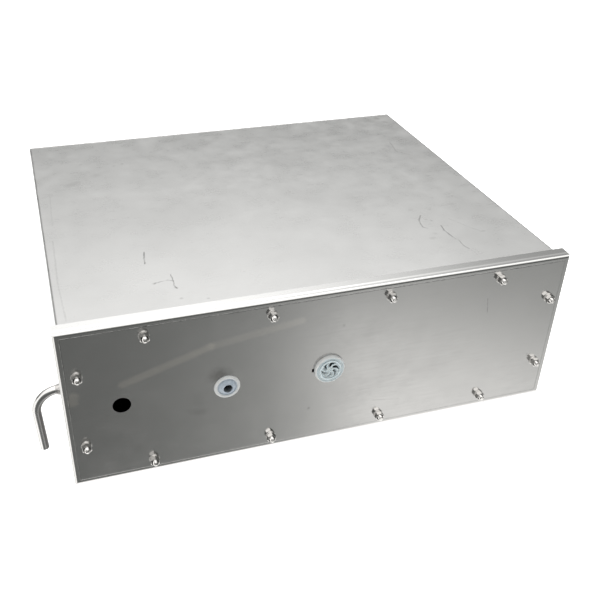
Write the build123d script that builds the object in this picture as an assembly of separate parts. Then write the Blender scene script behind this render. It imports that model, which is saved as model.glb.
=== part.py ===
"""Flat stainless-steel hydraulic reservoir with a bolted pan-type front cover.

The tank lies on its large face. X runs across the cover, Y from the cover to the rear panel, Z up.
Shapes are drawn in the tank's own frame: X = 0 at the cover's centre, Y = 0 on the cover's outer
face, Z = 0 at the cover's lower edge. Each node is moved by ORIGIN_SHIFT as it is written, so that
the finished part has its origin at the centre of its bounding box, on the surface it stands on.
"""

import os
from math import cos, radians, sin, tan

from build123d import *

# Driving dimensions, millimetres
COVER_WIDTH = 603.0
COVER_HEIGHT = 208.5
COVER_RETURN = 18.0
TANK_REAR = 516.0
SHEET = 1.5

BODY_INSET = 5.0
BEND_OUTER = 3.5
BEND_INNER = BEND_OUTER - SHEET
SEAM_GAP = 0.5

# Left by the press brake: fine lines round the cover's face, and a step along its upper return
DIE_MARK_EDGE = 6.5
DIE_MARK_WIDTH = 0.7
DIE_MARK_DEPTH = 0.06
STEP_REAR = 8.0
STEP_FRONT = 5.6
STEP_DEPTH = 0.3

GASKET_THICKNESS = 3.0
GASKET_BAND = 22.0

FRAME_BAND = 24.0
FRAME_LEG = 14.0
FRAME_THICKNESS = 3.0

# Fasteners: M6 studs with washers and hexagon nuts
STUD_RADIUS = 2.95
STUD_TIP = -11.0
STUD_HEAD_RADIUS = 5.0
STUD_HEAD_HEIGHT = 2.5
STUD_EDGE = 17.4
STUD_SIDE_EDGE = 18.5
STUD_PITCH = 140.0
SIDE_STUD_OFFSET = 48.0
STUD_HOLE_RADIUS = 3.3
WASHER_RADIUS = 6.0
WASHER_THICKNESS = 1.0
SPRING_WASHER_RADIUS = 5.3
SPRING_WASHER_THICKNESS = 0.8
SPRING_WASHER_GAP = 1.4
NUT_ACROSS_FLATS = 10.0
NUT_HEIGHT = 5.0
FASTENER_BORE = 3.05

# Openings on the cover's centre line
PORT_X = -240.0
PORT_RADIUS = 10.1
GROMMET_X = -122.2
VENT_X = 0.0
OPENINGS_Z = COVER_HEIGHT / 2

# Silicone tube grommet
GROMMET_HOLE = 10.0
GROMMET_FLANGE = 15.2
GROMMET_BORE = 5.0
GROMMET_LIP = 6.4
GROMMET_FRONT = -5.0
GROMMET_FLANGE_FRONT = -2.2
GROMMET_TAIL = 9.0

# Vent: silicone ring in a keyed hole, with a push-in louvred insert
VENT_HOLE = 15.8
VENT_KEY_WIDTH = 4.8
VENT_KEY_REACH = 21.0
VENT_RING = 18.6
VENT_BORE = 12.52
VENT_RING_FRONT = -4.8
INSERT_RADIUS = 12.4
INSERT_FLANGE = 13.6
INSERT_FRONT = -5.8
INSERT_TAIL = 6.5
INSERT_WALL = 1.2
INSERT_DISC = 2.2
LOUVRE_COUNT = 6
LOUVRE_INNER = 4.2
LOUVRE_OUTER = 9.7
LOUVRE_TURN = 38.0
LOUVRE_WIDTH = 2.5

# Clearance round a piece that is welded into its hole
WELD_FIT = 0.05

# Overflow pipe, bent down beside the tank
PIPE_RADIUS = 5.0
PIPE_WALL = 1.0
PIPE_Y = 35.0
PIPE_Z = 113.9
PIPE_BEND_RADIUS = 27.0
PIPE_BEND_X = -303.0
PIPE_BEND_ANGLE = 92.0
PIPE_END_Z = 34.9
PIPE_INSIDE = 12.0
WELD_LENGTH = 10.0
WELD_FOOT_RADIUS = 8.0
WELD_SAG = 1.0
WELD_TOE_RADIUS = 5.6
WELD_TOE_DROP = 0.35

# Inside and underneath
BAFFLE_X = -60.0
BAFFLE_FRONT = 40.0
BAFFLE_REAR = 430.0
BAFFLE_HEIGHT = 150.0
BAFFLE_FOOT = 25.0
SKID_X = 200.0
SKID_WIDTH = 40.0
SKID_FRONT = 40.0
SKID_REAR = 490.0

# Worked out from the above
COVER_HALF = COVER_WIDTH / 2
BODY_HALF = COVER_HALF - BODY_INSET
BODY_BOTTOM = BODY_INSET
BODY_TOP = COVER_HEIGHT - BODY_INSET
BODY_FRONT = SHEET + GASKET_THICKNESS
CAVITY_HALF = BODY_HALF - SHEET
CAVITY_BOTTOM = BODY_BOTTOM + SHEET
CAVITY_TOP = BODY_TOP - SHEET
FRAME_REAR = BODY_FRONT + FRAME_THICKNESS
WASHER_FRONT = -WASHER_THICKNESS
NUT_BACK = WASHER_FRONT - SPRING_WASHER_THICKNESS
PIPE_LEFT = PIPE_BEND_X - PIPE_BEND_RADIUS - PIPE_RADIUS
ORIGIN_SHIFT = (-(PIPE_LEFT + COVER_HALF) / 2, -(STUD_TIP + TANK_REAR) / 2, 0)

STUD_PLACES = [
    (x * STUD_PITCH, z)
    for z in (STUD_EDGE, COVER_HEIGHT - STUD_EDGE)
    for x in (-1.5, -0.5, 0.5, 1.5)
] + [
    (side * (COVER_HALF - STUD_SIDE_EDGE), OPENINGS_Z + step * SIDE_STUD_OFFSET)
    for side in (-1, 1)
    for step in (-1, 1)
]


def block(x0, x1, y0, y1, z0, z1):
    """A box between two corners."""
    centre = ((x0 + x1) / 2, (y0 + y1) / 2, (z0 + z1) / 2)
    return Pos(*centre) * Box(x1 - x0, y1 - y0, z1 - z0)


def rod(x, z, radius, y0, y1):
    """A cylinder along Y."""
    return Pos(x, (y0 + y1) / 2, z) * Rot(90, 0, 0) * Cylinder(radius, y1 - y0)


def turned(x, z, outline):
    """A body of revolution about a line along Y, from (radius, y) points."""
    wire = Polyline([(radius, y, 0) for radius, y in outline], close=True)
    return Pos(x, 0, z) * revolve(make_face(wire), Axis.Y, 360)


def at_studs(shape):
    """One copy of a shape at each stud."""
    return Compound([Pos(x, 0, z) * shape for x, z in STUD_PLACES])


def stud_holes(y0, y1, radius):
    """The drills for all stud holes."""
    return [rod(x, z, radius, y0, y1) for x, z in STUD_PLACES]


def tank_section(inset, y0, y1, top_radius):
    """The tank's cross-section less an inset, with rounded upper edges, from y0 to y1."""
    section = block(
        -BODY_HALF + inset, BODY_HALF - inset, y0, y1, BODY_BOTTOM + inset, BODY_TOP - inset
    )
    upper = section.edges().filter_by(Axis.Y).group_by(Axis.Z)[-1]
    return fillet(upper, top_radius)


def tank_wrapper():
    """Top and both sides, folded from one sheet, with the hole for the overflow pipe."""
    rear = TANK_REAR - SHEET
    wrapper = tank_section(0, BODY_FRONT, rear, BEND_OUTER)
    wrapper -= tank_section(SHEET, BODY_FRONT - 1, rear + 1, BEND_INNER)
    wrapper -= block(-CAVITY_HALF, CAVITY_HALF, 0, TANK_REAR, 0, CAVITY_BOTTOM + 1)
    drill = Pos(-BODY_HALF, PIPE_Y, PIPE_Z) * Rot(0, 90, 0) * Cylinder(PIPE_RADIUS + WELD_FIT, 10)
    return wrapper - drill


def tank_floor():
    """The bottom sheet, between the wrapper's sides."""
    rear = TANK_REAR - SHEET
    return block(-CAVITY_HALF, CAVITY_HALF, BODY_FRONT, rear, BODY_BOTTOM, CAVITY_BOTTOM)


def rear_panel():
    """The back sheet, welded across the end of the wrapper and floor."""
    return tank_section(0, TANK_REAR - SHEET, TANK_REAR, BEND_OUTER)


def frame_bar(horizontal, high):
    """One angle bar of the front frame: a face band with a leg along the tank's wall."""
    if horizontal:
        wall = CAVITY_TOP if high else CAVITY_BOTTOM
        inward = -1 if high else 1
        z_band = sorted((wall, wall + inward * FRAME_BAND))
        z_leg = sorted((wall, wall + inward * FRAME_THICKNESS))
        band = block(-CAVITY_HALF, CAVITY_HALF, BODY_FRONT, FRAME_REAR, *z_band)
        leg = block(-CAVITY_HALF, CAVITY_HALF, FRAME_REAR, BODY_FRONT + FRAME_LEG, *z_leg)
    else:
        wall = CAVITY_HALF if high else -CAVITY_HALF
        inward = -1 if high else 1
        x_band = sorted((wall, wall + inward * FRAME_BAND))
        x_leg = sorted((wall, wall + inward * FRAME_THICKNESS))
        z_low = CAVITY_BOTTOM + FRAME_BAND
        z_high = CAVITY_TOP - FRAME_BAND
        band = block(*x_band, BODY_FRONT, FRAME_REAR, z_low, z_high)
        leg = block(*x_leg, FRAME_REAR, BODY_FRONT + FRAME_LEG, z_low, z_high)
    cavity = tank_section(SHEET, BODY_FRONT, BODY_FRONT + FRAME_LEG, BEND_INNER)
    bar = (band + leg) & cavity
    return bar - stud_holes(BODY_FRONT - 1, FRAME_REAR + 1, STUD_RADIUS + WELD_FIT)


def cover_studs():
    """Twelve M6 weld studs, their heads behind the frame."""
    shank = rod(0, 0, STUD_RADIUS, STUD_TIP, FRAME_REAR)
    shank = chamfer(shank.edges().group_by(Axis.Y)[0], 0.8)
    head = rod(0, 0, STUD_HEAD_RADIUS, FRAME_REAR, FRAME_REAR + STUD_HEAD_HEIGHT)
    return at_studs(shank + head)


def cover_gasket():
    """Flat rubber ring between the frame and the cover."""
    half = CAVITY_HALF
    low = CAVITY_BOTTOM
    high = CAVITY_TOP
    ring = block(-half, half, SHEET, BODY_FRONT, low, high) - block(
        -half + GASKET_BAND,
        half - GASKET_BAND,
        0,
        BODY_FRONT + 1,
        low + GASKET_BAND,
        high - GASKET_BAND,
    )
    return ring - stud_holes(0, BODY_FRONT + 1, STUD_HOLE_RADIUS)


def groove(points, direction, length):
    """A straight cutter with a section of flat sides."""
    return extrude(make_face(Polyline(points, close=True)), length, dir=direction)


def die_marks():
    """Cutters for the fine lines round the face and for the step along the upper return."""
    width, depth = DIE_MARK_WIDTH, DIE_MARK_DEPTH
    left, right = -COVER_HALF + DIE_MARK_EDGE, COVER_HALF - DIE_MARK_EDGE
    low, high = DIE_MARK_EDGE, COVER_HEIGHT - DIE_MARK_EDGE
    cutters = []
    for z in (low, high):
        section = [(left, -depth, z - width), (left, -depth, z + width), (left, depth, z)]
        cutters.append(groove(section, (1, 0, 0), right - left))
    for x in (left, right):
        section = [(x - width, -depth, low), (x + width, -depth, low), (x, depth, low)]
        cutters.append(groove(section, (0, 0, 1), high - low))
    end_x = -COVER_HALF - 1
    step = [
        (end_x, -1, COVER_HEIGHT - STEP_DEPTH),
        (end_x, STEP_FRONT, COVER_HEIGHT - STEP_DEPTH),
        (end_x, STEP_REAR, COVER_HEIGHT),
        (end_x, STEP_REAR, COVER_HEIGHT + 1),
        (end_x, -1, COVER_HEIGHT + 1),
    ]
    cutters.append(groove(step, (1, 0, 0), COVER_WIDTH + 2))
    return cutters


def front_cover():
    """Shallow pan: a face with four bent-back returns, open at the corner seams."""
    pan = block(-COVER_HALF, COVER_HALF, 0, COVER_RETURN, 0, COVER_HEIGHT)
    pan = fillet(pan.faces().sort_by(Axis.Y)[0].edges(), BEND_OUTER)
    inside = block(
        -COVER_HALF + SHEET, COVER_HALF - SHEET, SHEET, COVER_RETURN + 5, SHEET, COVER_HEIGHT - SHEET
    )
    pan -= fillet(inside.faces().sort_by(Axis.Y)[0].edges(), BEND_INNER)
    for side in (-1, 1):
        x_seam = sorted((side * (COVER_HALF - SHEET), side * (COVER_HALF + 1)))
        for z_seam in (SHEET, COVER_HEIGHT - SHEET - SEAM_GAP):
            pan -= block(*x_seam, BEND_OUTER, COVER_RETURN + 1, z_seam, z_seam + SEAM_GAP)
    pan -= rod(PORT_X, OPENINGS_Z, PORT_RADIUS, -1, SHEET + 1)
    pan -= rod(GROMMET_X, OPENINGS_Z, GROMMET_HOLE, -1, SHEET + 1)
    pan -= rod(VENT_X, OPENINGS_Z, VENT_HOLE, -1, SHEET + 1)
    half_key = VENT_KEY_WIDTH / 2
    pan -= block(
        VENT_X - VENT_KEY_REACH, VENT_X, -1, SHEET + 1, OPENINGS_Z - half_key, OPENINGS_Z + half_key
    )
    pan -= die_marks()
    return pan - stud_holes(-1, SHEET + 1, STUD_HOLE_RADIUS)


def stud_washers():
    """Plain washer against the cover at each stud."""
    washer = rod(0, 0, WASHER_RADIUS, WASHER_FRONT, 0) - rod(0, 0, STUD_HOLE_RADIUS, -5, 1)
    return at_studs(washer)


def spring_washers():
    """Split lock washer under each nut, its gap square to the rim."""
    ring = rod(0, 0, SPRING_WASHER_RADIUS, NUT_BACK, WASHER_FRONT)
    ring -= rod(0, 0, FASTENER_BORE + 0.1, -5, 1)
    gap = SPRING_WASHER_GAP / 2
    return at_studs(ring - block(-gap, gap, -5, 1, 0, WASHER_RADIUS))


def stud_nuts():
    """Hexagon nut on each stud, with its corners chamfered outside."""
    front = NUT_BACK - NUT_HEIGHT
    corner = NUT_ACROSS_FLATS / 2 / cos(radians(30))
    prism = extrude(Plane.XZ * RegularPolygon(corner, 6), NUT_HEIGHT)
    prism = Pos(0, NUT_BACK, 0) * prism
    flat = NUT_ACROSS_FLATS / 2
    crown = turned(
        0,
        0,
        [(0, front), (flat - 0.3, front), (corner + 0.1, front + 0.9), (corner + 0.1, 0), (0, 0)],
    )
    nut = (prism & crown) - rod(0, 0, FASTENER_BORE, front - 1, 1)
    return at_studs(nut)


def tube_grommet():
    """Silicone grommet: wide flange, raised soft cone, and a bore that grips a tube."""
    outline = [
        (GROMMET_BORE, GROMMET_FRONT),
        (GROMMET_LIP - 0.4, GROMMET_FRONT),
        (GROMMET_LIP, GROMMET_FRONT + 0.6),
        (GROMMET_FLANGE - 4.4, GROMMET_FLANGE_FRONT),
        (GROMMET_FLANGE - 1.0, GROMMET_FLANGE_FRONT),
        (GROMMET_FLANGE, GROMMET_FLANGE_FRONT + 1.0),
        (GROMMET_FLANGE, 0),
        (GROMMET_HOLE - 0.1, 0),
        (GROMMET_HOLE - 0.1, SHEET),
        (GROMMET_HOLE + 2.0, SHEET),
        (GROMMET_HOLE + 2.0, SHEET + 1.5),
        (GROMMET_LIP + 1.5, GROMMET_TAIL),
        (GROMMET_BORE, GROMMET_TAIL),
    ]
    return turned(GROMMET_X, OPENINGS_Z, outline)


def vent_grommet():
    """Silicone ring that clips the vent into the keyed hole."""
    outline = [
        (VENT_BORE, VENT_RING_FRONT),
        (VENT_RING - 2.6, VENT_RING_FRONT),
        (VENT_RING - 1.2, VENT_RING_FRONT + 0.8),
        (VENT_RING, -1.4),
        (VENT_RING, 0),
        (VENT_HOLE - 0.1, 0),
        (VENT_HOLE - 0.1, SHEET),
        (VENT_HOLE + 1.6, SHEET),
        (VENT_HOLE + 1.6, SHEET + 1.2),
        (VENT_HOLE - 0.6, SHEET + 3.5),
        (VENT_BORE, SHEET + 3.5),
    ]
    return turned(VENT_X, OPENINGS_Z, outline)


def louvre_slot(turn):
    """One swept slot of the vent disc: it leans clockwise as it runs outwards."""
    middle = (LOUVRE_INNER + LOUVRE_OUTER) / 2
    points = []
    for radius, lean in ((LOUVRE_INNER, 0), (middle, 0.28), (LOUVRE_OUTER, 1)):
        angle = radians(turn - lean * LOUVRE_TURN)
        points.append((radius * cos(angle), radius * sin(angle)))
    path = ThreePointArc(*points)
    slot = Plane.XZ * SlotArc(path, LOUVRE_WIDTH)
    return extrude(slot, 20, both=True)


def vent_insert():
    """Louvred disc on a short sleeve that pushes into the vent ring."""
    outline = [
        (0, INSERT_FRONT),
        (INSERT_FLANGE - 0.6, INSERT_FRONT),
        (INSERT_FLANGE, INSERT_FRONT + 0.6),
        (INSERT_FLANGE, VENT_RING_FRONT),
        (INSERT_RADIUS, VENT_RING_FRONT),
        (INSERT_RADIUS, INSERT_TAIL),
        (INSERT_RADIUS - INSERT_WALL, INSERT_TAIL),
        (INSERT_RADIUS - INSERT_WALL, INSERT_FRONT + INSERT_DISC),
        (0, INSERT_FRONT + INSERT_DISC),
    ]
    insert = turned(0, 0, outline)
    for k in range(LOUVRE_COUNT):
        insert -= louvre_slot(90 + k * 360 / LOUVRE_COUNT)
    return Pos(VENT_X, 0, OPENINGS_Z) * insert


def pipe_along_path(section):
    """Sweeps a section out through the side wall and down the bend to the cut end."""
    corner_x = PIPE_BEND_X - PIPE_BEND_RADIUS * tan(radians(PIPE_BEND_ANGLE / 2))
    end_x = corner_x + (PIPE_Z - PIPE_END_Z) * tan(radians(PIPE_BEND_ANGLE - 90))
    start = (-BODY_HALF + PIPE_INSIDE, PIPE_Y, PIPE_Z)
    corner = (corner_x, PIPE_Y, PIPE_Z)
    end = (end_x, PIPE_Y, PIPE_END_Z)
    path = FilletPolyline(start, corner, end, radius=PIPE_BEND_RADIUS)
    return sweep(Plane(origin=start, z_dir=(-1, 0, 0)) * section, path)


def overflow_pipe():
    """Stainless pipe: out through the side wall, then bent down to a cut end."""
    return pipe_along_path(Circle(PIPE_RADIUS) - Circle(PIPE_RADIUS - PIPE_WALL))


def pipe_weld_ring():
    """Fillet weld round the pipe on the outside of the wall, heavier below."""
    outward = (-1, 0, 0)
    foot_place = (-BODY_HALF, PIPE_Y, PIPE_Z - WELD_SAG)
    toe_place = (-BODY_HALF - WELD_LENGTH, PIPE_Y, PIPE_Z - WELD_TOE_DROP)
    foot = Plane(origin=foot_place, z_dir=outward) * Circle(WELD_FOOT_RADIUS)
    toe = Plane(origin=toe_place, z_dir=outward) * Circle(WELD_TOE_RADIUS)
    return loft([foot, toe]) - pipe_along_path(Circle(PIPE_RADIUS + WELD_FIT))


def baffle_plate():
    """Upright plate with a foot, which parts return flow from the suction side."""
    plate = block(BAFFLE_X, BAFFLE_X + SHEET, BAFFLE_FRONT, BAFFLE_REAR, CAVITY_BOTTOM, BAFFLE_HEIGHT)
    foot_top = CAVITY_BOTTOM + SHEET
    foot = block(BAFFLE_X, BAFFLE_X + BAFFLE_FOOT, BAFFLE_FRONT, BAFFLE_REAR, CAVITY_BOTTOM, foot_top)
    return plate + foot


def skid(side):
    """Flat strip under the floor that keeps the tank level with the cover's lower lip."""
    half = SKID_WIDTH / 2
    x = side * SKID_X
    return block(x - half, x + half, SKID_FRONT, SKID_REAR, 0, BODY_BOTTOM)


def all_nodes():
    """Every node's name and shape, in the tank's own frame."""
    return {
        "tank_wrapper": tank_wrapper(),
        "tank_floor": tank_floor(),
        "rear_panel": rear_panel(),
        "frame_top": frame_bar(True, True),
        "frame_bottom": frame_bar(True, False),
        "frame_left": frame_bar(False, False),
        "frame_right": frame_bar(False, True),
        "cover_studs": cover_studs(),
        "cover_gasket": cover_gasket(),
        "front_cover": front_cover(),
        "stud_washers": stud_washers(),
        "spring_washers": spring_washers(),
        "stud_nuts": stud_nuts(),
        "tube_grommet": tube_grommet(),
        "vent_grommet": vent_grommet(),
        "vent_insert": vent_insert(),
        "overflow_pipe": overflow_pipe(),
        "pipe_weld_ring": pipe_weld_ring(),
        "baffle_plate": baffle_plate(),
        "skid_left": skid(-1),
        "skid_right": skid(1),
    }


os.makedirs("parts", exist_ok=True)
for node, shape in all_nodes().items():
    export_step(Pos(*ORIGIN_SHIFT) * shape, f"parts/{node}.step")
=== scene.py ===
"""Looks of the stainless hydraulic reservoir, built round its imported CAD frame.

Lengths are in metres, in the CAD row frame: X along the cover, Y from the cover to the rear, Z up.
The sheet-metal nodes keep their CAD shapes and get procedural steel. Fasteners, grommets, vent, pipe
and weld ring are replaced by finer meshes that stand in the same places.
"""

import math
import random

import bpy
from mathutils import Matrix, Vector


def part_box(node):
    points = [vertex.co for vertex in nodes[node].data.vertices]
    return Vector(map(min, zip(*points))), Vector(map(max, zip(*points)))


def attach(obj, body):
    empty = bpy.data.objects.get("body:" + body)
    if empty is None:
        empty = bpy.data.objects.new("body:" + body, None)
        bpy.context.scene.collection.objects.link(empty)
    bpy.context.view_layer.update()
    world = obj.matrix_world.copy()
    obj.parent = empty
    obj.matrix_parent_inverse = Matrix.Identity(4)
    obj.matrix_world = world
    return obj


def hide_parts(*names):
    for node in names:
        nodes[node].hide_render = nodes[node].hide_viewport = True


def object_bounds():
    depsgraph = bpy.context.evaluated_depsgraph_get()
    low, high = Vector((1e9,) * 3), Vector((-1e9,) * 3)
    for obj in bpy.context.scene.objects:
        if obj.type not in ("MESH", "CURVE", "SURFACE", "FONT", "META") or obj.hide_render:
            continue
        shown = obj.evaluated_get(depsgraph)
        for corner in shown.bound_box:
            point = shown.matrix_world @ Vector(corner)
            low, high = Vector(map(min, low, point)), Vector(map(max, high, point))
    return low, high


MM = 0.001
NEARLY_ZERO = 1e-7

# Camera: where it stands, what it looks at, its tilt about the view and its lens
CAMERA_PLACE = Vector((-0.27425, -0.9372, 0.6737))
CAMERA_TARGET = Vector((0.02625, -0.0015, 0.042))
CAMERA_ROLL = math.radians(1.06)
CAMERA_LENS = 48.05
CAMERA_SHIFT = (0.0467, -0.0013)

# Floor: light it gives off, half its side, and its gap below the tank; the overhead light
FLOOR_GLOW = 0.55
FLOOR_REACH = 30.0
FLOOR_GAP = 0.2 * MM
OVERHEAD_PLACE = (0.2, 0.1, 2.2)
OVERHEAD_SIZE = 2.5
OVERHEAD_POWER = 12

# Fasteners
THREAD_PITCH = 1.0 * MM
THREAD_DEPTH = 0.55 * MM
STUD_RADIUS = 2.95 * MM
STUD_TIP_RADIUS = 2.05 * MM
STUD_CHAMFER = 0.75 * MM
STUD_CHAMFER_LENGTH = 0.8 * MM
STUD_CORE_RADIUS = 1.6 * MM
FRAME_THICKNESS = 3.0 * MM
NUT_HALF_FLATS = 5.0 * MM
NUT_BORE = 3.05 * MM
NUT_CROWN = 0.97 * NUT_HALF_FLATS
NUT_CHAMFER = math.radians(30)
SPRING_OUTER = 5.3 * MM
SPRING_INNER = 3.15 * MM
SPRING_GAP = math.radians(14)

# Overflow pipe: radius of its bend, thickness of its wall, and how far its end leans past upright
PIPE_BEND = 27.0 * MM
PIPE_WALL = 1.0 * MM
PIPE_LEAN = math.radians(2.0)

# Thickness of the cover's sheet
SHEET = 1.5 * MM
# Seeds of the spring washers' turns and of the lumps in the pipe's weld
TURN_SEED = 11
WELD_SEED = 5
# Turn of each nut in degrees: by rows from the bottom, left to right
NUT_TURNS = (5, 8, 20, 12, 0, 27, 3, 50, 2, 30, 28, 18)

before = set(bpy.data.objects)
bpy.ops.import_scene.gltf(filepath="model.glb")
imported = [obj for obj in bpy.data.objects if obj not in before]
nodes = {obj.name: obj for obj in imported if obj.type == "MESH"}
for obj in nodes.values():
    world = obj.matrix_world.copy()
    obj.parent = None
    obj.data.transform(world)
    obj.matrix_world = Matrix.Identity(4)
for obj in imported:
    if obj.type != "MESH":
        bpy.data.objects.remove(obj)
cad_low, cad_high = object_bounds()


# ---------------------------------------------------------------- small geometry helpers


def centre_of(node):
    """The middle of a CAD node's box."""
    low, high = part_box(node)
    return (low + high) / 2


def solid_centres(node):
    """The box centre of each separate solid in a CAD node, found through shared corners."""
    mesh = nodes[node].data
    parent = list(range(len(mesh.vertices)))

    def root(i):
        while parent[i] != i:
            parent[i] = parent[parent[i]]
            i = parent[i]
        return i

    same_place = {}
    for vertex in mesh.vertices:
        key = tuple(round(c / (0.001 * MM)) for c in vertex.co)
        parent[root(vertex.index)] = root(same_place.setdefault(key, vertex.index))
    for edge in mesh.edges:
        parent[root(edge.vertices[0])] = root(edge.vertices[1])
    groups = {}
    for vertex in mesh.vertices:
        groups.setdefault(root(vertex.index), []).append(vertex.co)
    centres = []
    for corners in groups.values():
        low = Vector(map(min, *corners))
        high = Vector(map(max, *corners))
        centres.append((low + high) / 2)
    return sorted(centres, key=lambda c: (round(c.z, 4), round(c.x, 4)))


def rounded(points, radius, steps=4):
    """A closed outline with each corner turned into an arc of about that radius."""
    result = []
    count = len(points)
    for k, corner in enumerate(points):
        corner = Vector(corner)
        before = Vector(points[k - 1]) - corner
        after = Vector(points[(k + 1) % count]) - corner
        reach = min(radius, 0.45 * before.length, 0.45 * after.length)
        start = corner + before.normalized() * reach
        end = corner + after.normalized() * reach
        for step in range(steps + 1):
            t = step / steps
            result.append(start * (1 - t) ** 2 + corner * 2 * t * (1 - t) + end * t**2)
    return result


class Shape:
    """Vertices and faces gathered for one mesh piece."""

    def __init__(self):
        self.vertices = []
        self.faces = []
        self.dark_faces = set()

    def add(self, vertices, faces, matrix=None, dark=()):
        """Adds one closed part, moved by a matrix; dark lists its faces in the second material."""
        first = len(self.vertices)
        matrix = matrix or Matrix.Identity(4)
        self.dark_faces |= {len(self.faces) + i for i in dark}
        self.vertices += [matrix @ Vector(v) for v in vertices]
        self.faces += [tuple(first + i for i in face) for face in faces]

    def piece(self, name, body, material, replaced=(), slot=None, angle=35, dark_material=None):
        """Makes the mesh object, smooth below the given crease angle, and ties it to the frame."""
        mesh = bpy.data.meshes.new(name)
        used = sorted({i for face in self.faces for i in face})
        new_index = {old: new for new, old in enumerate(used)}
        faces = [tuple(new_index[i] for i in face) for face in self.faces]
        mesh.from_pydata([tuple(self.vertices[i]) for i in used], [], faces)
        mesh.materials.append(material)
        if dark_material:
            mesh.materials.append(dark_material)
            for polygon in mesh.polygons:
                polygon.material_index = 1 if polygon.index in self.dark_faces else 0
        mesh.validate()
        mesh.update()
        obj = bpy.data.objects.new(name, mesh)
        bpy.context.scene.collection.objects.link(obj)
        for polygon in mesh.polygons:
            polygon.use_smooth = True
        mesh.set_sharp_from_angle(angle=math.radians(angle))
        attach(obj, body)
        if replaced:
            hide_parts(*replaced)
        return obj


def grid_faces(rings, sides, closed_rings=True):
    """Quads of a tube-like grid: rings of equal size, each joined to the next."""
    faces = []
    last = rings if closed_rings else rings - 1
    for i in range(last):
        for j in range(sides):
            a = i * sides + j
            b = i * sides + (j + 1) % sides
            c = ((i + 1) % rings) * sides + (j + 1) % sides
            d = ((i + 1) % rings) * sides + j
            faces.append((a, b, c, d))
    return faces


def outline_from(edge, points):
    """Outline points from (radius, distance behind a Y place), both in mm."""
    return [(radius * MM, edge + behind * MM) for radius, behind in points]


def lathe(outline, sides=96):
    """A closed outline of (radius, y) turned about the Y axis."""
    vertices = []
    for radius, y in outline:
        for j in range(sides):
            angle = 2 * math.pi * j / sides
            vertices.append((radius * math.cos(angle), y, radius * math.sin(angle)))
    return vertices, grid_faces(len(outline), sides)


def turned_about_y(place, angle):
    """Moves a part to a place after turning it about the Y axis."""
    return Matrix.Translation(place) @ Matrix.Rotation(angle, 4, "Y")


# ---------------------------------------------------------------- materials


class NodeTree:
    """A node tree, with short calls for the nodes used here."""

    def __init__(self, tree):
        self.tree = tree
        tree.nodes.clear()

    def node(self, kind, **settings):
        made = self.tree.nodes.new(kind)
        for name, value in settings.items():
            setattr(made, name, value)
        return made

    def put(self, socket, value):
        """Links an output into a socket, or sets the socket to a plain value."""
        if isinstance(value, bpy.types.NodeSocket):
            self.tree.links.new(value, socket)
        else:
            socket.default_value = value

    def math(self, operation, a, b=0.0, clamp=False):
        made = self.node("ShaderNodeMath", operation=operation, use_clamp=clamp)
        self.put(made.inputs[0], a)
        self.put(made.inputs[1], b)
        return made.outputs[0]

    def ramp(self, value, low, high, at_low=0.0, at_high=1.0):
        """Smooth step from at_low to at_high as the value goes from low to high."""
        made = self.node("ShaderNodeMapRange", interpolation_type="SMOOTHSTEP")
        for socket, number in zip(made.inputs, (value, low, high, at_low, at_high)):
            self.put(socket, number)
        return made.outputs[0]

    def curve(self, value, stops):
        """Brightness along a list of (value, brightness) stops."""
        made = self.node("ShaderNodeValToRGB")
        elements = made.color_ramp.elements
        while len(elements) < len(stops):
            elements.new(0.5)
        for element, (position, _) in zip(elements, stops):
            element.position = position
        for element, (_, bright) in zip(elements, stops):
            element.color = (bright / BRIGHTEST,) * 3 + (1.0,)
        self.put(made.inputs[0], value)
        return self.math("MULTIPLY", made.outputs[0], BRIGHTEST)

    def mix(self, factor, a, b):
        """The number a where the factor is 0, and b where it is 1."""
        share_of_a = self.math("MULTIPLY", self.math("SUBTRACT", 1.0, factor), a)
        return self.math("ADD", share_of_a, self.math("MULTIPLY", factor, b))

    def blend(self, factor, a, b):
        """Mixes two colours."""
        made = self.node("ShaderNodeMix", data_type="RGBA")
        self.put(made.inputs["Factor"], factor)
        self.put(made.inputs["A"], a)
        self.put(made.inputs["B"], b)
        return made.outputs["Result"]


class Graph(NodeTree):
    """A material's node tree, which ends in a principled shader."""

    def __init__(self, name):
        self.material = bpy.data.materials.new(name)
        self.material.use_nodes = True
        super().__init__(self.material.node_tree)
        output = self.node("ShaderNodeOutputMaterial")
        self.shader = self.node("ShaderNodeBsdfPrincipled")
        self.put(output.inputs["Surface"], self.shader.outputs[0])
        self.place = self.node("ShaderNodeTexCoord").outputs["Object"]

    def vector(self, operation, a, b=(0, 0, 0)):
        made = self.node("ShaderNodeVectorMath", operation=operation)
        self.put(made.inputs[0], a)
        self.put(made.inputs[1], b)
        scalar = operation in ("LENGTH", "DOT_PRODUCT", "DISTANCE")
        return made.outputs["Value" if scalar else "Vector"]

    def noise(self, scale, detail=3.0, rough=0.55, stretch=(1, 1, 1), offset=(0, 0, 0), twist=0.0):
        """Fractal noise from 0 to 1; a small stretch number draws it out along that axis."""
        moved = self.vector("ADD", self.place, offset)
        made = self.node("ShaderNodeTexNoise")
        self.put(made.inputs["Vector"], self.vector("MULTIPLY", moved, stretch))
        self.put(made.inputs["Scale"], scale)
        self.put(made.inputs["Detail"], detail)
        self.put(made.inputs["Roughness"], rough)
        self.put(made.inputs["Distortion"], twist)
        return made.outputs["Fac"]

    def bump(self, height, depth, normal=None):
        """Tilts the surface by a height pattern; depth is the height of a full step in metres."""
        made = self.node("ShaderNodeBump")
        self.put(made.inputs["Height"], height)
        self.put(made.inputs["Distance"], depth)
        self.put(made.inputs["Strength"], 1.0)
        if normal is not None:
            self.put(made.inputs["Normal"], normal)
        return made.outputs["Normal"]

    def set(self, **values):
        """Sets shader sockets by name, with _ for a space."""
        for name, value in values.items():
            self.put(self.shader.inputs[name.replace("_", " ")], value)


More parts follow.
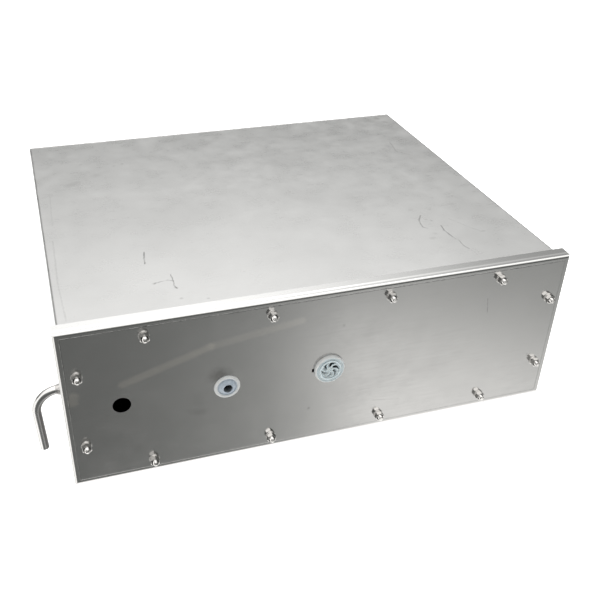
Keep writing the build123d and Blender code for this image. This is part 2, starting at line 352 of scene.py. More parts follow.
def grey(value, warm=0.0):
    """A near-neutral colour; a positive warm leans to yellow, a negative one to blue."""
    return (value * (1 + warm), value, value * (1 - warm), 1.0)


def segment_mask(graph, flat_place, start, end, width):
    """1 on a line between two points of a face and 0 beyond its width."""
    start, end = Vector(start), Vector(end)
    along = end - start
    from_start = graph.vector("SUBTRACT", flat_place, tuple(start))
    share = graph.vector("DOT_PRODUCT", from_start, tuple(along / along.length_squared))
    share = graph.math("MULTIPLY", share, 1.0, clamp=True)
    scaled = graph.node("ShaderNodeVectorMath", operation="SCALE")
    scaled.inputs[0].default_value = tuple(along)
    graph.put(scaled.inputs["Scale"], share)
    gap = graph.vector("DISTANCE", from_start, scaled.outputs["Vector"])
    return graph.ramp(gap, 0.25 * width, width, 1.0, 0.0)


def blot_mask(graph, flat_place, centre, half_long, half_wide, turn):
    """1 inside a soft ellipse of a face, turned in the face's plane by an angle in degrees."""
    moved = graph.vector("SUBTRACT", flat_place, tuple(centre))
    rotate = graph.node("ShaderNodeVectorRotate", rotation_type="Z_AXIS")
    graph.put(rotate.inputs["Vector"], moved)
    rotate.inputs["Angle"].default_value = -math.radians(turn)
    sized = graph.vector("DIVIDE", rotate.outputs[0], (half_long, half_wide, 1.0))
    return graph.ramp(graph.vector("LENGTH", sized), 0.15, 1.0, 1.0, 0.0)


def strongest(graph, masks):
    """The highest of several masks."""
    result = masks[0]
    for mask in masks[1:]:
        result = graph.math("MAXIMUM", result, mask)
    return result


def steel_base(
    graph, colour, rough, grain_stretch, cloud=0.03, wave=0.03 * MM, grain_depth=0.0006 * MM
):
    """Mill-finish stainless: rolling grain, soft clouds, handling haze and a slightly wavy sheet.

    cloud is the strength of the clouds; wave and grain_depth are the heights of those two patterns.
    Returns the colour, the roughness and the normal.
    """
    clouds = graph.noise(7.0, detail=4.0, rough=0.6, twist=0.4)
    haze = graph.noise(28.0, detail=5.0, rough=0.65, offset=(3.1, 1.7, 0.4))
    grain = graph.noise(1.0, detail=2.0, rough=0.7, stretch=grain_stretch)
    finer_stretch = tuple(3.1 * s for s in grain_stretch)
    fine = graph.noise(1.0, detail=1.0, stretch=finer_stretch, offset=(0.3, 0.2, 0.1))
    coarse_share = graph.math("MULTIPLY", grain, 0.6)
    streak = graph.math("ADD", coarse_share, graph.math("MULTIPLY", fine, 0.4))
    dull = tuple(c * (1 - 2.2 * cloud) for c in colour[:3]) + (1.0,)
    base = graph.blend(graph.ramp(clouds, 0.35, 0.7), colour, dull)
    darker = tuple(c * 0.93 for c in colour[:3]) + (1.0,)
    base = graph.blend(graph.ramp(streak, 0.45, 0.75, 0.0, 0.5), base, darker)
    roughness = graph.math("ADD", graph.ramp(haze, 0.3, 0.75, -0.03, 0.05), rough)
    roughness = graph.math("ADD", roughness, graph.ramp(streak, 0.3, 0.7, -0.02, 0.03))
    waves = graph.noise(4.5, detail=1.0, rough=0.4, offset=(9.0, 2.0, 5.0))
    normal = graph.bump(waves, wave)
    normal = graph.bump(streak, grain_depth, normal)
    graph.set(Metallic=1.0)
    return base, roughness, normal


def plain_steel(name, colour, rough, grain_stretch, **more):
    """Steel with no marks of its own."""
    graph = Graph(name)
    base, roughness, normal = steel_base(graph, colour, rough, grain_stretch, **more)
    graph.set(Base_Color=base, Roughness=roughness, Normal=normal)
    return graph.material


class MarkedFace:
    """Masks for marks on one face of a node, each placed by shares of the node's box."""

    def __init__(self, graph, node, axes):
        self.graph = graph
        self.low, self.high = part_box(node)
        self.axes = axes
        split = graph.node("ShaderNodeSeparateXYZ")
        graph.put(split.inputs[0], graph.place)
        self.split = split.outputs
        flat = graph.node("ShaderNodeCombineXYZ")
        shaken = graph.node("ShaderNodeCombineXYZ")
        wobble = graph.noise(260.0, detail=2.0)
        for socket, axis, reach in zip((0, 1), axes, (MARK_WOBBLE, -MARK_WOBBLE)):
            graph.put(flat.inputs[socket], split.outputs[axis])
            graph.put(shaken.inputs[socket], graph.ramp(wobble, 0.3, 0.7, -reach, reach))
        self.place = graph.vector("ADD", flat.outputs[0], shaken.outputs[0])

    def at(self, share):
        """A point of the face from its shares of the node's box."""
        u, v = self.axes
        return (
            self.low[u] + share[0] * (self.high[u] - self.low[u]),
            self.low[v] + share[1] * (self.high[v] - self.low[v]),
            0.0,
        )

    def line(self, start, end, width):
        """1 on a line between two points, with its width in mm."""
        return segment_mask(self.graph, self.place, self.at(start), self.at(end), width * MM)

    def scratch_and_groove_shade_lines(self, strokes):
        """Broken dark lines, scratch marks and painted groove shade: points, width in mm, strength.
        """
        lines = []
        for points, width, strength in strokes:
            for start, end in zip(points, points[1:]):
                lines.append(self.graph.math("MULTIPLY", self.line(start, end, width), strength))
        broken = self.graph.noise(190.0, detail=4.0, rough=0.7, offset=(1.0, 4.0, 2.0))
        broken = self.graph.ramp(broken, 0.34, 0.56, 0.25, 1.0)
        return self.graph.math("MULTIPLY", strongest(self.graph, lines), broken)

    def blots_and_shade(self, blots):
        """Patchy dark blots, stain marks and painted shade: centre, half sizes in mm, turn, strength.
        """
        soft = []
        for centre, half_long, half_wide, turn, strength in blots:
            middle = self.at(centre)
            mask = blot_mask(self.graph, self.place, middle, half_long * MM, half_wide * MM, turn)
            soft.append(self.graph.math("MULTIPLY", mask, strength))
        patchy = self.graph.noise(60.0, detail=5.0, rough=0.7, offset=(5.0, 1.0, 8.0))
        patchy = self.graph.ramp(patchy, 0.3, 0.6, 0.35, 1.0)
        return self.graph.math("MULTIPLY", strongest(self.graph, soft), patchy)

    def lip_painted_highlight(self, left, right):
        """A mask of the node's highest face, and a painted highlight that changes across it."""
        low, high = self.low, self.high
        mask = self.graph.ramp(self.split[2], high.z - LIP_DEPTH, high.z - 0.2 * MM)
        fade_from = low.x + LIP_FADE * (high.x - low.x)
        across = self.graph.ramp(self.split[0], fade_from, high.x)
        return mask, self.graph.blend(across, left, right)


def marked_steel(
    name, node, axes, colour, rough, grain_stretch, strokes, blots, bands=(), lip=None, **more
):
    """Steel with scratch marks, dark blots and paler bands placed on one face of a node; on the cover
    some of the lines and one blot are painted shade.

    axes are the face's two axes. Each mark is placed by shares of the node's box along them.
    lip gives the painted highlight's colours at the left and right ends of the node's highest face.
    """
    graph = Graph(name)
    base, roughness, normal = steel_base(graph, colour, rough, grain_stretch, **more)
    face = MarkedFace(graph, node, axes)
    scratch_and_groove_shade = face.scratch_and_groove_shade_lines(strokes)
    blot_and_shade_mask = face.blots_and_shade(blots)
    if lip:
        mask, lip_highlight_paint = face.lip_painted_highlight(*lip)
        base = graph.blend(mask, base, lip_highlight_paint)
    for (start, end), half_width, strength in bands:
        mask = graph.math("MULTIPLY", face.line(start, end, half_width), strength)
        base = graph.blend(mask, base, PALE_BAND)
    # Dark blots: stain marks, and on the cover a painted shadow beside the grommet
    base = graph.blend(blot_and_shade_mask, base, grey(0.16, 0.05))
    # Near-black lines: scratch marks, and on the cover painted shade along the fold grooves
    base = graph.blend(scratch_and_groove_shade, base, grey(0.03))
    roughness = graph.math("ADD", roughness, graph.math("MULTIPLY", blot_and_shade_mask, 0.12))
    roughness = graph.math("ADD", roughness, graph.math("MULTIPLY", scratch_and_groove_shade, 0.2))
    normal = graph.bump(graph.math("MULTIPLY", scratch_and_groove_shade, -1.0), SCRATCH_DEPTH, normal)
    graph.set(Base_Color=base, Roughness=roughness, Normal=normal)
    return graph.material


def pipe_metal(name):
    """Drawn tube with painted shade: darker and duller on the side that faces the tank."""
    graph = Graph(name)
    base, roughness, normal = steel_base(
        graph, grey(0.70, 0.01), 0.16, ALONG_Z, cloud=0.03, wave=0.005 * MM, grain_depth=0.0002 * MM
    )
    facing = graph.node("ShaderNodeTexCoord").outputs["Normal"]
    inward = graph.vector("DOT_PRODUCT", facing, TOWARDS_TANK)
    painted_tank_side_shade = graph.ramp(inward, 0.0, 0.42)
    base = graph.blend(painted_tank_side_shade, base, grey(0.17, 0.02))
    roughness = graph.math("ADD", roughness, graph.math("MULTIPLY", painted_tank_side_shade, 0.15))
    graph.set(Base_Color=base, Roughness=roughness, Normal=normal)
    return graph.material


def silicone(name, node, bands, rough, sunk_from, sunk_to, shade):
    """Soft milky moulding: each band (radius in mm, colour) runs out to the next one's radius.

    Thick parts are whiter; thin skins are painted bluer, partly their own tint and partly painted
    shade of the dark inside showing through them. Painted shade: it turns to the shade colour between
    two places (mm behind the cover's face), where little light reaches.
    """
    graph = Graph(name)
    axis = centre_of(node)
    from_axis = graph.vector("SUBTRACT", graph.place, tuple(axis))
    radius = graph.vector("LENGTH", graph.vector("MULTIPLY", from_axis, (1, 0, 1)))
    base = bands[0][1]
    for edge, colour in bands[1:]:
        base = graph.blend(graph.ramp(radius, (edge - 0.5) * MM, (edge + 0.5) * MM), base, colour)
    split = graph.node("ShaderNodeSeparateXYZ")
    graph.put(split.inputs[0], graph.place)
    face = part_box("front_cover")[0].y
    painted_depth_shade = graph.ramp(split.outputs[1], face + sunk_from * MM, face + sunk_to * MM, 0.0, 0.75)
    base = graph.blend(painted_depth_shade, base, shade)
    cloud = graph.noise(420.0, detail=3.0, rough=0.6)
    speck = graph.noise(2600.0, detail=2.0)
    base = graph.blend(graph.ramp(cloud, 0.35, 0.7, 0.0, 0.18), base, CLOUDED_BLUE)
    roughness = graph.math("ADD", graph.ramp(speck, 0.35, 0.7, -0.04, 0.06), rough)
    graph.set(Base_Color=base, Roughness=roughness, Normal=graph.bump(speck, 0.004 * MM))
    graph.set(Subsurface_Weight=0.5, Subsurface_Scale=1.5 * MM, IOR=1.42)
    graph.shader.inputs["Subsurface Radius"].default_value = (1.0, 1.1, 1.2)
    return graph.material


def rubber(name):
    """Black gasket sheet with a fine sandy skin."""
    graph = Graph(name)
    sand = graph.noise(3200.0, detail=2.0)
    chalk = graph.noise(60.0, detail=4.0, rough=0.7)
    base = graph.blend(graph.ramp(chalk, 0.45, 0.8), grey(0.02), grey(0.06))
    graph.set(Base_Color=base, Roughness=graph.ramp(sand, 0.2, 0.8, 0.6, 0.85))
    graph.set(Normal=graph.bump(sand, 0.02 * MM))
    return graph.material


def weld_metal(name):
    """As-welded bead, straw and grey, brushed over."""
    graph = Graph(name)
    tint = graph.noise(300.0, detail=4.0, rough=0.6, twist=0.6)
    base = graph.blend(graph.ramp(tint, 0.35, 0.7), grey(0.58, 0.03), grey(0.34, 0.0))
    scratch = graph.noise(1500.0, detail=3.0)
    graph.set(Base_Color=base, Roughness=graph.ramp(scratch, 0.2, 0.8, 0.28, 0.5), Metallic=1.0)
    graph.set(Normal=graph.bump(scratch, 0.02 * MM))
    return graph.material


PALE_BAND = (0.98, 0.93, 0.86, 1.0)
MILK = (0.49, 0.495, 0.49, 1.0)
THIN_BLUE = (0.315, 0.36, 0.41, 1.0)
PALE_BLUE = (0.41, 0.465, 0.48, 1.0)
PALE_RIM = (0.46, 0.52, 0.54, 1.0)
# Painted shade: near black for the grommet's bore and for deep parts where little light reaches
PAINTED_DEEP_SHADE = (0.05, 0.055, 0.06, 1.0)
SLOT_SHADE = (0.13, 0.15, 0.16, 1.0)
CLOUDED_BLUE = (0.45, 0.5, 0.54, 1.0)

# Stretch of the grain: rolled along X or Z, or turned metal with no direction
ALONG_X = (25.0, 900.0, 900.0)
ALONG_Z = (900.0, 900.0, 25.0)
TURNED = (1500.0, 1500.0, 1500.0)

# Sideways shake of the marks, depth of the scratch marks, depth of the lip's painted highlight below
# its top, and the share of the width where that painted highlight starts to fade
MARK_WOBBLE = 0.4 * MM
SCRATCH_DEPTH = 0.05 * MM
LIP_DEPTH = 0.8 * MM
LIP_FADE = 0.25
# The side of the pipe that faces the tank, which gets painted shade
TOWARDS_TANK = (0.85, 0.0, -0.53)

# Marks on the tank's top: (points, width in mm, strength); points are shares across and back
TOP_STROKES = [
    ([(0.191, 0.29), (0.187, 0.26), (0.185, 0.235)], 1.2, 0.69),
    ([(0.225, 0.175), (0.226, 0.145), (0.224, 0.125), (0.227, 0.113)], 1.1, 0.55),
    ([(0.190, 0.145), (0.207, 0.150), (0.216, 0.152), (0.226, 0.145)], 1.1, 0.41),
    ([(0.802, 0.290), (0.787, 0.262), (0.782, 0.230), (0.790, 0.220)], 1.1, 0.55),
    ([(0.824, 0.225), (0.820, 0.200), (0.823, 0.165)], 1.2, 0.64),
    ([(0.823, 0.165), (0.826, 0.150)], 0.9, 0.37),
    ([(0.829, 0.145), (0.827, 0.115), (0.832, 0.098)], 1.1, 0.41),
    ([(0.855, 0.255), (0.868, 0.225), (0.880, 0.195)], 1.0, 0.17),
    ([(0.880, 0.195), (0.893, 0.175)], 1.3, 0.20),
    ([(0.915, 0.770), (0.905, 0.700), (0.930, 0.660)], 1.6, 0.26),
    ([(0.020, 0.40), (0.016, 0.20), (0.020, 0.05)], 1.4, 0.13),
    ([(0.030, 0.66), (0.024, 0.48)], 1.4, 0.09),
]
# Blots: (centre, half length and half width in mm, turn in degrees, strength)
TOP_BLOTS = [
    ((0.192, 0.808), 4, 3, 0, 0.30),
    ((0.213, 0.817), 4, 3, 0, 0.38),
    ((0.115, 0.842), 4, 3, 0, 0.20),
    ((0.088, 0.715), 20, 9, 35, 0.22),
    ((0.140, 0.755), 34, 9, 30, 0.12),
    ((0.952, 0.972), 10, 8, -20, 0.42),
    ((0.964, 0.935), 10, 6, -50, 0.34),
    ((0.938, 0.950), 26, 16, -40, 0.14),
    ((0.912, 0.710), 7, 5, 0, 0.16),
    ((0.190, 0.145), 4, 3, 20, 0.40),
    ((0.226, 0.115), 3, 3, 0, 0.40),
    ((0.228, 0.070), 3, 3, 0, 0.30),
    ((0.275, 0.055), 3, 2, 0, 0.45),
    ((0.793, 0.325), 7, 5, 0, 0.18),
    ((0.835, 0.315), 4, 4, 0, 0.18),
    ((0.805, 0.265), 3, 3, 0, 0.28),
    ((0.814, 0.255), 3, 3, 0, 0.30),
    ((0.780, 0.170), 7, 5, 10, 0.16),
    ((0.795, 0.190), 6, 5, 0, 0.14),
    ((0.897, 0.170), 7, 3, 0, 0.26),
    ((0.450, 0.760), 75, 16, 20, 0.07),
    ((0.585, 0.700), 60, 14, -30, 0.06),
    ((0.300, 0.480), 60, 30, 10, 0.04),
    ((0.650, 0.420), 90, 30, -15, 0.035),
]
# Marks on the cover's face, its fold lines first: shares across and up. The fold lines are dark
# lines, partly a real mark and partly painted shade in the grooves
FRONT_STROKES = [
    ([(0.011, 0.969), (0.989, 0.969)], 1.0, 0.38),
    ([(0.011, 0.031), (0.011, 0.969)], 1.0, 0.32),
    ([(0.989, 0.031), (0.989, 0.969)], 0.9, 0.15),
    ([(0.011, 0.031), (0.989, 0.031)], 0.9, 0.06),
    ([(0.828, 0.79), (0.832, 0.70)], 1.0, 0.2),
    ([(0.60, 0.20), (0.66, 0.17)], 0.9, 0.08),
]
FRONT_BLOTS = [
    ((0.4617, 0.233), 3, 3, 0, 0.3),
    ((0.525, 0.773), 3, 3, 0, 0.2),
    # Painted shadow: this soft dark blot up-left of the grommet stands for its mirrored shade
    ((0.284, 0.585), 19, 15, 0, 0.5),
    ((0.245, 0.44), 14, 16, 0, 0.08),
    ((0.240, 0.36), 20, 8, -15, 0.14),
    ((0.700, 0.350), 60, 20, 20, 0.03),
    ((0.250, 0.300), 70, 24, -10, 0.03),
]
# Paler bands: (ends, half width in mm, strength)
FRONT_BANDS = [
    (((0.107, 0.632), (0.27, 0.78)), 7, 0.4),
    (((0.27, 0.78), (0.44, 0.85)), 7, 0.22),
    (((0.018, 0.57), (0.021, 0.61)), 8, 0.45),
]

tank_sheet = marked_steel(
    "tank_sheet", "tank_wrapper", (0, 1), grey(0.70), 0.30, ALONG_X, TOP_STROKES, TOP_BLOTS
)
cover_sheet = marked_steel(
    "cover_sheet",
    "front_cover",
    (0, 2),
    grey(0.64, 0.01),
    0.15,
    ALONG_X,
    FRONT_STROKES,
    FRONT_BLOTS,
    bands=FRONT_BANDS,
    # Painted highlight on the lip's top: light at the left, darker at the right
    lip=(grey(0.88), grey(0.40)),
    cloud=0.02,
)
side_sheet = plain_steel("side_sheet", grey(0.66), 0.32, ALONG_X)
bar_steel = plain_steel("bar_steel", grey(0.55), 0.42, ALONG_X, cloud=0.1)
pipe_steel = pipe_metal("pipe_steel")
bolt_steel = plain_steel("bolt_steel", grey(0.74, 0.02), 0.10, TURNED, wave=0.005 * MM)
# Painted shade: the nuts' mouths are near-black steel, where shade falls in the recess round the stud
mouth_painted_shade = plain_steel("mouth_painted_shade", grey(0.10), 0.35, TURNED, wave=0.005 * MM)
# Painted shade: inside 5.2 mm the grommet's bore is painted dark, as shade from the unlit tank inside
GROMMET_BANDS = [(0, PAINTED_DEEP_SHADE), (5.2, THIN_BLUE), (11.4, MILK)]
RING_BANDS = [(0, PALE_BLUE), (16.8, MILK)]
INSERT_BANDS = [(0, PALE_BLUE), (11.6, PALE_RIM)]
grommet_silicone = silicone(
    "grommet_silicone", "tube_grommet", GROMMET_BANDS, 0.3, -3.5, 4.0, PAINTED_DEEP_SHADE
)
vent_silicone = silicone("vent_silicone", "vent_grommet", RING_BANDS, 0.3, -3.0, 4.0, PAINTED_DEEP_SHADE)
vent_plastic = silicone("vent_plastic", "vent_insert", INSERT_BANDS, 0.25, -4.5, -2.3, SLOT_SHADE)
black_rubber = rubber("black_rubber")
bead_metal = weld_metal("bead_metal")

CAD_MATERIALS = {
    "tank_wrapper": tank_sheet,
    "tank_floor": side_sheet,
    "rear_panel": side_sheet,
    "front_cover": cover_sheet,
    "frame_top": bar_steel,
    "frame_bottom": bar_steel,
    "frame_left": bar_steel,
    "frame_right": bar_steel,
    "baffle_plate": bar_steel,
    "skid_left": bar_steel,
    "skid_right": bar_steel,
    "cover_gasket": black_rubber,
}
for node, material in CAD_MATERIALS.items():
    mesh = nodes[node].data
    mesh.materials.clear()
    mesh.materials.append(material)


# ---------------------------------------------------------------- fasteners


def threaded_stud(tip, length):
    """A stud along +Y from its tip, with a real helical thread and a chamfered end."""
    sides = 32
    per_pitch = 6
    rings = round(length / THREAD_PITCH * per_pitch) + 1
    vertices = []
    for i in range(rings):
        y = length * i / (rings - 1)
        at_end = i in (0, rings - 1)
        for j in range(sides):
            angle = 2 * math.pi * j / sides
            turn = (y / THREAD_PITCH - j / sides) % 1.0
            groove = THREAD_DEPTH * abs(2 * turn - 1)
            chamfer = STUD_CHAMFER * (1 - min(1.0, y / STUD_CHAMFER_LENGTH))
            radius = STUD_TIP_RADIUS
            if not at_end:
                radius = max(STUD_RADIUS - groove - chamfer, STUD_CORE_RADIUS)
            vertices.append((radius * math.cos(angle), tip + y, radius * math.sin(angle)))
    faces = grid_faces(rings, sides, closed_rings=False)
    faces.append(tuple(reversed(range(sides))))
    faces.append(tuple((rings - 1) * sides + j for j in range(sides)))
    return vertices, faces


def hexagon_nut(back, front):
    """A chamfered hexagon nut between two Y places, bored through, with a recessed mouth.

    Returns its vertices, its faces and which faces are the mouth.
    """
    sides = 96
    profile = []
    for j in range(sides):
        angle = 2 * math.pi * j / sides
        off_flat = (angle + math.pi / 6) % (math.pi / 3) - math.pi / 6
        corner = NUT_HALF_FLATS / math.cos(off_flat)
        drop = max(0.0, corner - NUT_CROWN) * math.tan(NUT_CHAMFER)
        profile.append((angle, corner, drop))
    rings = [
        [(NUT_BORE, back) for _ in profile],
        [(NUT_CROWN, back) for _ in profile],
        [(corner, back - drop) for _, corner, drop in profile],
        [(corner, front + drop) for _, corner, drop in profile],
        [(NUT_CROWN, front) for _ in profile],
        [(4.45 * MM, front) for _ in profile],
        [(4.1 * MM, front + 0.5 * MM) for _ in profile],
        [(NUT_BORE, front + 1.1 * MM) for _ in profile],
    ]
    vertices = []
    for ring in rings:
        for (angle, _, _), (radius, y) in zip(profile, ring):
            vertices.append((radius * math.cos(angle), y, radius * math.sin(angle)))
    # The mouth's faces take the second material, the painted shade
    mouth = range(6 * sides, 8 * sides)
    return vertices, grid_faces(len(rings), sides), mouth


def split_washer(back, front):
    """A spring washer: a nearly closed ring of square section whose ends stand a little apart."""
    steps = 64
    squash = 0.82
    lift = 0.175 * (back - front)
    section = [
        (SPRING_INNER, back),
        (SPRING_OUTER, back),
        (SPRING_OUTER, front),
        (SPRING_INNER, front),
    ]
    corners = rounded(section, 0.25 * MM, steps=2)
    count = len(corners)
    vertices = []
    for i in range(steps + 1):
        share = i / steps
        angle = SPRING_GAP / 2 + share * (2 * math.pi - SPRING_GAP)
        for radius, y in corners:
            squeezed = front + (y - front) * squash + (share - 0.5) * lift
            squeezed = min(max(squeezed, front), back)
            vertices.append((radius * math.cos(angle), squeezed, radius * math.sin(angle)))
    faces = []
    for i in range(steps):
        for j in range(count):
            a = i * count + j
            b = i * count + (j + 1) % count
            faces.append((a, b, b + count, a + count))
    faces.append(tuple(range(count)))
    faces.append(tuple(steps * count + j for j in reversed(range(count))))
    return vertices, faces


def make_fasteners():
    """Studs, washers, spring washers and nuts, each nut turned to its own angle."""
    turns = random.Random(TURN_SEED)
    stud_low, stud_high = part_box("cover_studs")
    frame_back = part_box("frame_top")[0].y + FRAME_THICKNESS
    washer_low, washer_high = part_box("stud_washers")
    spring_low, spring_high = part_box("spring_washers")
    nut_low, nut_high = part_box("stud_nuts")
    studs, washers, springs, nuts = Shape(), Shape(), Shape(), Shape()
    washer_outline = outline_from(washer_high.y, [(3.3, 0.0), (6.0, 0.0)])
    washer_outline += outline_from(washer_low.y, [(6.0, 0.0), (3.3, 0.0)])
    washer_outline = rounded(washer_outline, 0.3 * MM)
    head_outline = outline_from(frame_back, [(1.0, 0.0), (5.0, 0.0)])
    head_outline += outline_from(stud_high.y, [(5.0, -0.5), (4.5, 0.0), (1.0, 0.0)])
    for centre, degrees in zip(solid_centres("stud_nuts"), NUT_TURNS):
        axis = Vector((centre.x, 0, centre.z))
        turn = math.radians(degrees)
        spring_turn = turns.uniform(0, 2 * math.pi)
        length = frame_back - stud_low.y
        studs.add(*threaded_stud(stud_low.y, length), turned_about_y(axis, turn))
        studs.add(*lathe(head_outline, 48), Matrix.Translation(axis))
        washers.add(*lathe(washer_outline, 72), Matrix.Translation(axis))
        spring = split_washer(spring_high.y, spring_low.y)
        springs.add(*spring, turned_about_y(axis, spring_turn))
        vertices, faces, mouth = hexagon_nut(nut_high.y, nut_low.y)
        nuts.add(vertices, faces, turned_about_y(axis, turn), mouth)
    studs.piece("threaded_studs", "tank", bolt_steel, ["cover_studs"], "fastener_steel", 50)
    washers.piece("plain_washers", "cover", bolt_steel, ["stud_washers"], "fastener_steel")
    springs.piece("split_washers", "cover", bolt_steel, ["spring_washers"], "fastener_steel")
    nuts.piece(
        "hexagon_nuts", "cover", bolt_steel, ["stud_nuts"], "fastener_steel", 25, mouth_painted_shade
    )


# ---------------------------------------------------------------- grommets and vent


def add_moulding(name, node, body, material, outline, radius):
    """A soft ring turned about a node's own axis from an outline with rounded corners."""
    axis = centre_of(node)
    shape = Shape()
    place = Vector((axis.x, 0, axis.z))
    shape.add(*lathe(rounded(outline, radius), 96), Matrix.Translation(place))
    shape.piece(name, body, material, [node], "silicone", 60)


def make_tube_grommet():
    """Soft grommet: thick rolled rim, a thin cone set back inside it and a lip round the bore."""
    low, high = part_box("tube_grommet")
    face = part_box("front_cover")[0].y
    lip = [(5.0, 0.3), (5.6, 0.0), (6.5, 0.3), (6.9, 1.4)]
    rim = [(10.4, -1.1), (11.0, -1.7), (12.2, -2.3), (13.8, -2.2), (15.2, -1.2), (15.2, 0.0)]
    outline = outline_from(low.y, lip)
    outline += outline_from(face, [*rim, (9.9, 0.0)])
    outline += outline_from(face + SHEET, [(9.9, 0.0), (12.0, 0.0)])
    outline += outline_from(face, [(12.0, 3.0)])
    outline += outline_from(high.y, [(7.9, 0.0), (5.0, 0.0)])
    add_moulding(
        "silicone_tube_grommet", "tube_grommet", "cover", grommet_silicone, outline, 0.8 * MM
    )


def make_vent_ring():
    """Soft ring round the vent, with a raised rolled rim at its edge."""
    low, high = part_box("vent_grommet")
    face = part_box("front_cover")[0].y
    rim = [(12.52, 0.5), (15.8, 0.6), (16.4, 0.0), (17.4, 0.1), (18.4, 1.4)]
    outline = outline_from(low.y, rim)
    outline += outline_from(face, [(18.6, -1.2), (18.6, 0.0), (15.7, 0.0)])
    outline += outline_from(face + SHEET, [(15.7, 0.0), (17.4, 0.0)])
    outline += outline_from(face, [(17.4, 2.7)])
    outline += outline_from(high.y, [(15.2, 0.0), (12.52, 0.0)])
    add_moulding("silicone_vent_ring", "vent_grommet", "cover", vent_silicone, outline, 0.6 * MM)


def louvred_disc(front, thickness):
    """Disc with six swept louvres: each sinks to a narrow opening under the next blade's edge."""
    blades = 6
    per_blade = 16
    open_cells = 1
    sunk_cells = 12
    sweep = math.radians(40)
    sink = 3.2 * MM
    rise = 0.5 * MM
    inner, slot_in, slot_out, outer = 1.2 * MM, 3.4 * MM, 10.9 * MM, 11.6 * MM
    radii = [inner, 2.2 * MM, slot_in]
    radii += [slot_in + (slot_out - slot_in) * k / 14 for k in range(1, 15)]
    radii += [11.2 * MM, outer]
    sides = blades * per_blade
    top, bottom = [], []
    for radius in radii:
        out = min(1.0, max(0.0, (radius - slot_in) / (slot_out - slot_in)))
        lean = sweep * out**1.4
        width = min(1.0, 4 * out, 4 * (1 - out))
        for j in range(sides):
            cell = j % per_blade
            angle = math.pi / 2 + 2 * math.pi * j / sides - lean
            depth = -rise * width * cell / per_blade
            if 0 < cell < sunk_cells:
                depth = sink * width * (sunk_cells - cell) / (sunk_cells - 1)
            x, z = radius * math.cos(angle), radius * math.sin(angle)
            top.append((x, front + depth, z))
            bottom.append((x, front + depth + thickness, z))
    rows = len(radii)
    base = len(top)

    def is_open(i, j):
        """Whether the cell out from ring i at side j belongs to an opening."""
        in_slot = slot_in - NEARLY_ZERO <= radii[i] and radii[i + 1] <= slot_out + NEARLY_ZERO
        return in_slot and j % per_blade < open_cells

    faces = []
    for i in range(rows - 1):
        for j in range(sides):
            k = (j + 1) % sides
            a, b = i * sides + j, i * sides + k
            d, c = (i + 1) * sides + j, (i + 1) * sides + k
            if is_open(i, j):
                continue
            faces += [(a, b, c, d), (base + d, base + c, base + b, base + a)]
            if i == 0:
                faces.append((b, a, base + a, base + b))
            if i == rows - 2:
                faces.append((d, c, base + c, base + d))
            if i > 0 and is_open(i - 1, j):
                faces.append((b, a, base + a, base + b))
            if i < rows - 2 and is_open(i + 1, j):
                faces.append((d, c, base + c, base + d))
            if is_open(i, (j - 1) % sides):
                faces.append((a, d, base + d, base + a))
            if is_open(i, k):
                faces.append((c, b, base + b, base + c))
    return top + bottom, faces


def make_vent_insert():
    """Vent insert: raised rim and sleeve, the louvred disc inside it, and a domed hub."""
    low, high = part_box("vent_insert")
    axis = centre_of("vent_insert")
    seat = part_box("vent_grommet")[0].y
    place = Matrix.Translation(Vector((axis.x, 0, axis.z)))
    rim = outline_from(low.y, [(11.3, 0.5), (11.8, 0.0), (12.7, 0.0), (13.6, 0.6)])
    rim += outline_from(seat, [(13.6, 0.0), (12.4, 0.0)])
    rim += outline_from(high.y, [(12.4, 0.0), (11.2, 0.0)])
    rim += outline_from(low.y, [(11.2, 2.4)])
    hub = outline_from(low.y, [(0.4, 0.5), (1.4, 0.3), (2.1, 0.8), (2.1, 2.4), (0.4, 2.4)])
    shape = Shape()
    shape.add(*lathe(rounded(rim, 0.3 * MM, 2), 96), place)
    shape.add(*lathe(rounded(hub, 0.3 * MM, 2), 48), place)
    shape.add(*louvred_disc(low.y + 1.2 * MM, 1.0 * MM), place)
    shape.piece("louvred_vent", "vent", vent_plastic, ["vent_insert"], "vent_plastic", 30)


# ---------------------------------------------------------------- welds and pipe


def bead(start, end, radius, seed):
    """A rippled weld bead between two points: a row of overlapping flattened scales."""
    rng = random.Random(seed)
    start, end = Vector(start), Vector(end)
    along = end - start
    pitch = 1.4 * radius
    rings = max(4, round(along.length / pitch * 3))
    sides = 10
    direction = along.normalized()
    side = direction.cross(Vector((0, 0, 1)))
    if side.length < 0.1:
        side = direction.cross(Vector((0, 1, 0)))
    side.normalize()
    up = side.cross(direction)
    vertices = []
    for i in range(rings + 1):
        share = i / rings
        ripple = 0.88 + 0.12 * abs(math.sin(math.pi * share * along.length / pitch))
        size = radius * ripple * (0.95 + 0.05 * rng.random())
        if i in (0, rings):
            size *= 0.5
        centre = start + along * share
        for j in range(sides):
            angle = 2 * math.pi * j / sides
            vertices.append(centre + side * size * math.cos(angle) + up * size * math.sin(angle))
    faces = grid_faces(rings + 1, sides, closed_rings=False)
    faces.append(tuple(reversed(range(sides))))
    faces.append(tuple(rings * sides + j for j in range(sides)))
    return vertices, faces


def make_seams():
    """Weld beads round the rear panel."""
    low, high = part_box("rear_panel")
    y = low.y - 0.1 * MM
    inset = 0.7 * MM
    corner = 3.0 * MM
    radius = 1.0 * MM
    left, right = low.x + inset, high.x - inset
    bottom, top = low.z + inset, high.z - inset
    runs = [
        ((left + corner, y, top), (right - corner, y, top)),
        ((left, y, bottom), (left, y, top - corner)),
        ((right, y, bottom), (right, y, top - corner)),
        ((left, y, bottom), (right, y, bottom)),
    ]
    shape = Shape()
    for seed, (start, end) in enumerate(runs):
        shape.add(*bead(start, end, radius, seed))
    shape.piece("rear_seams", "tank", bead_metal, slot="weld_metal", angle=60)


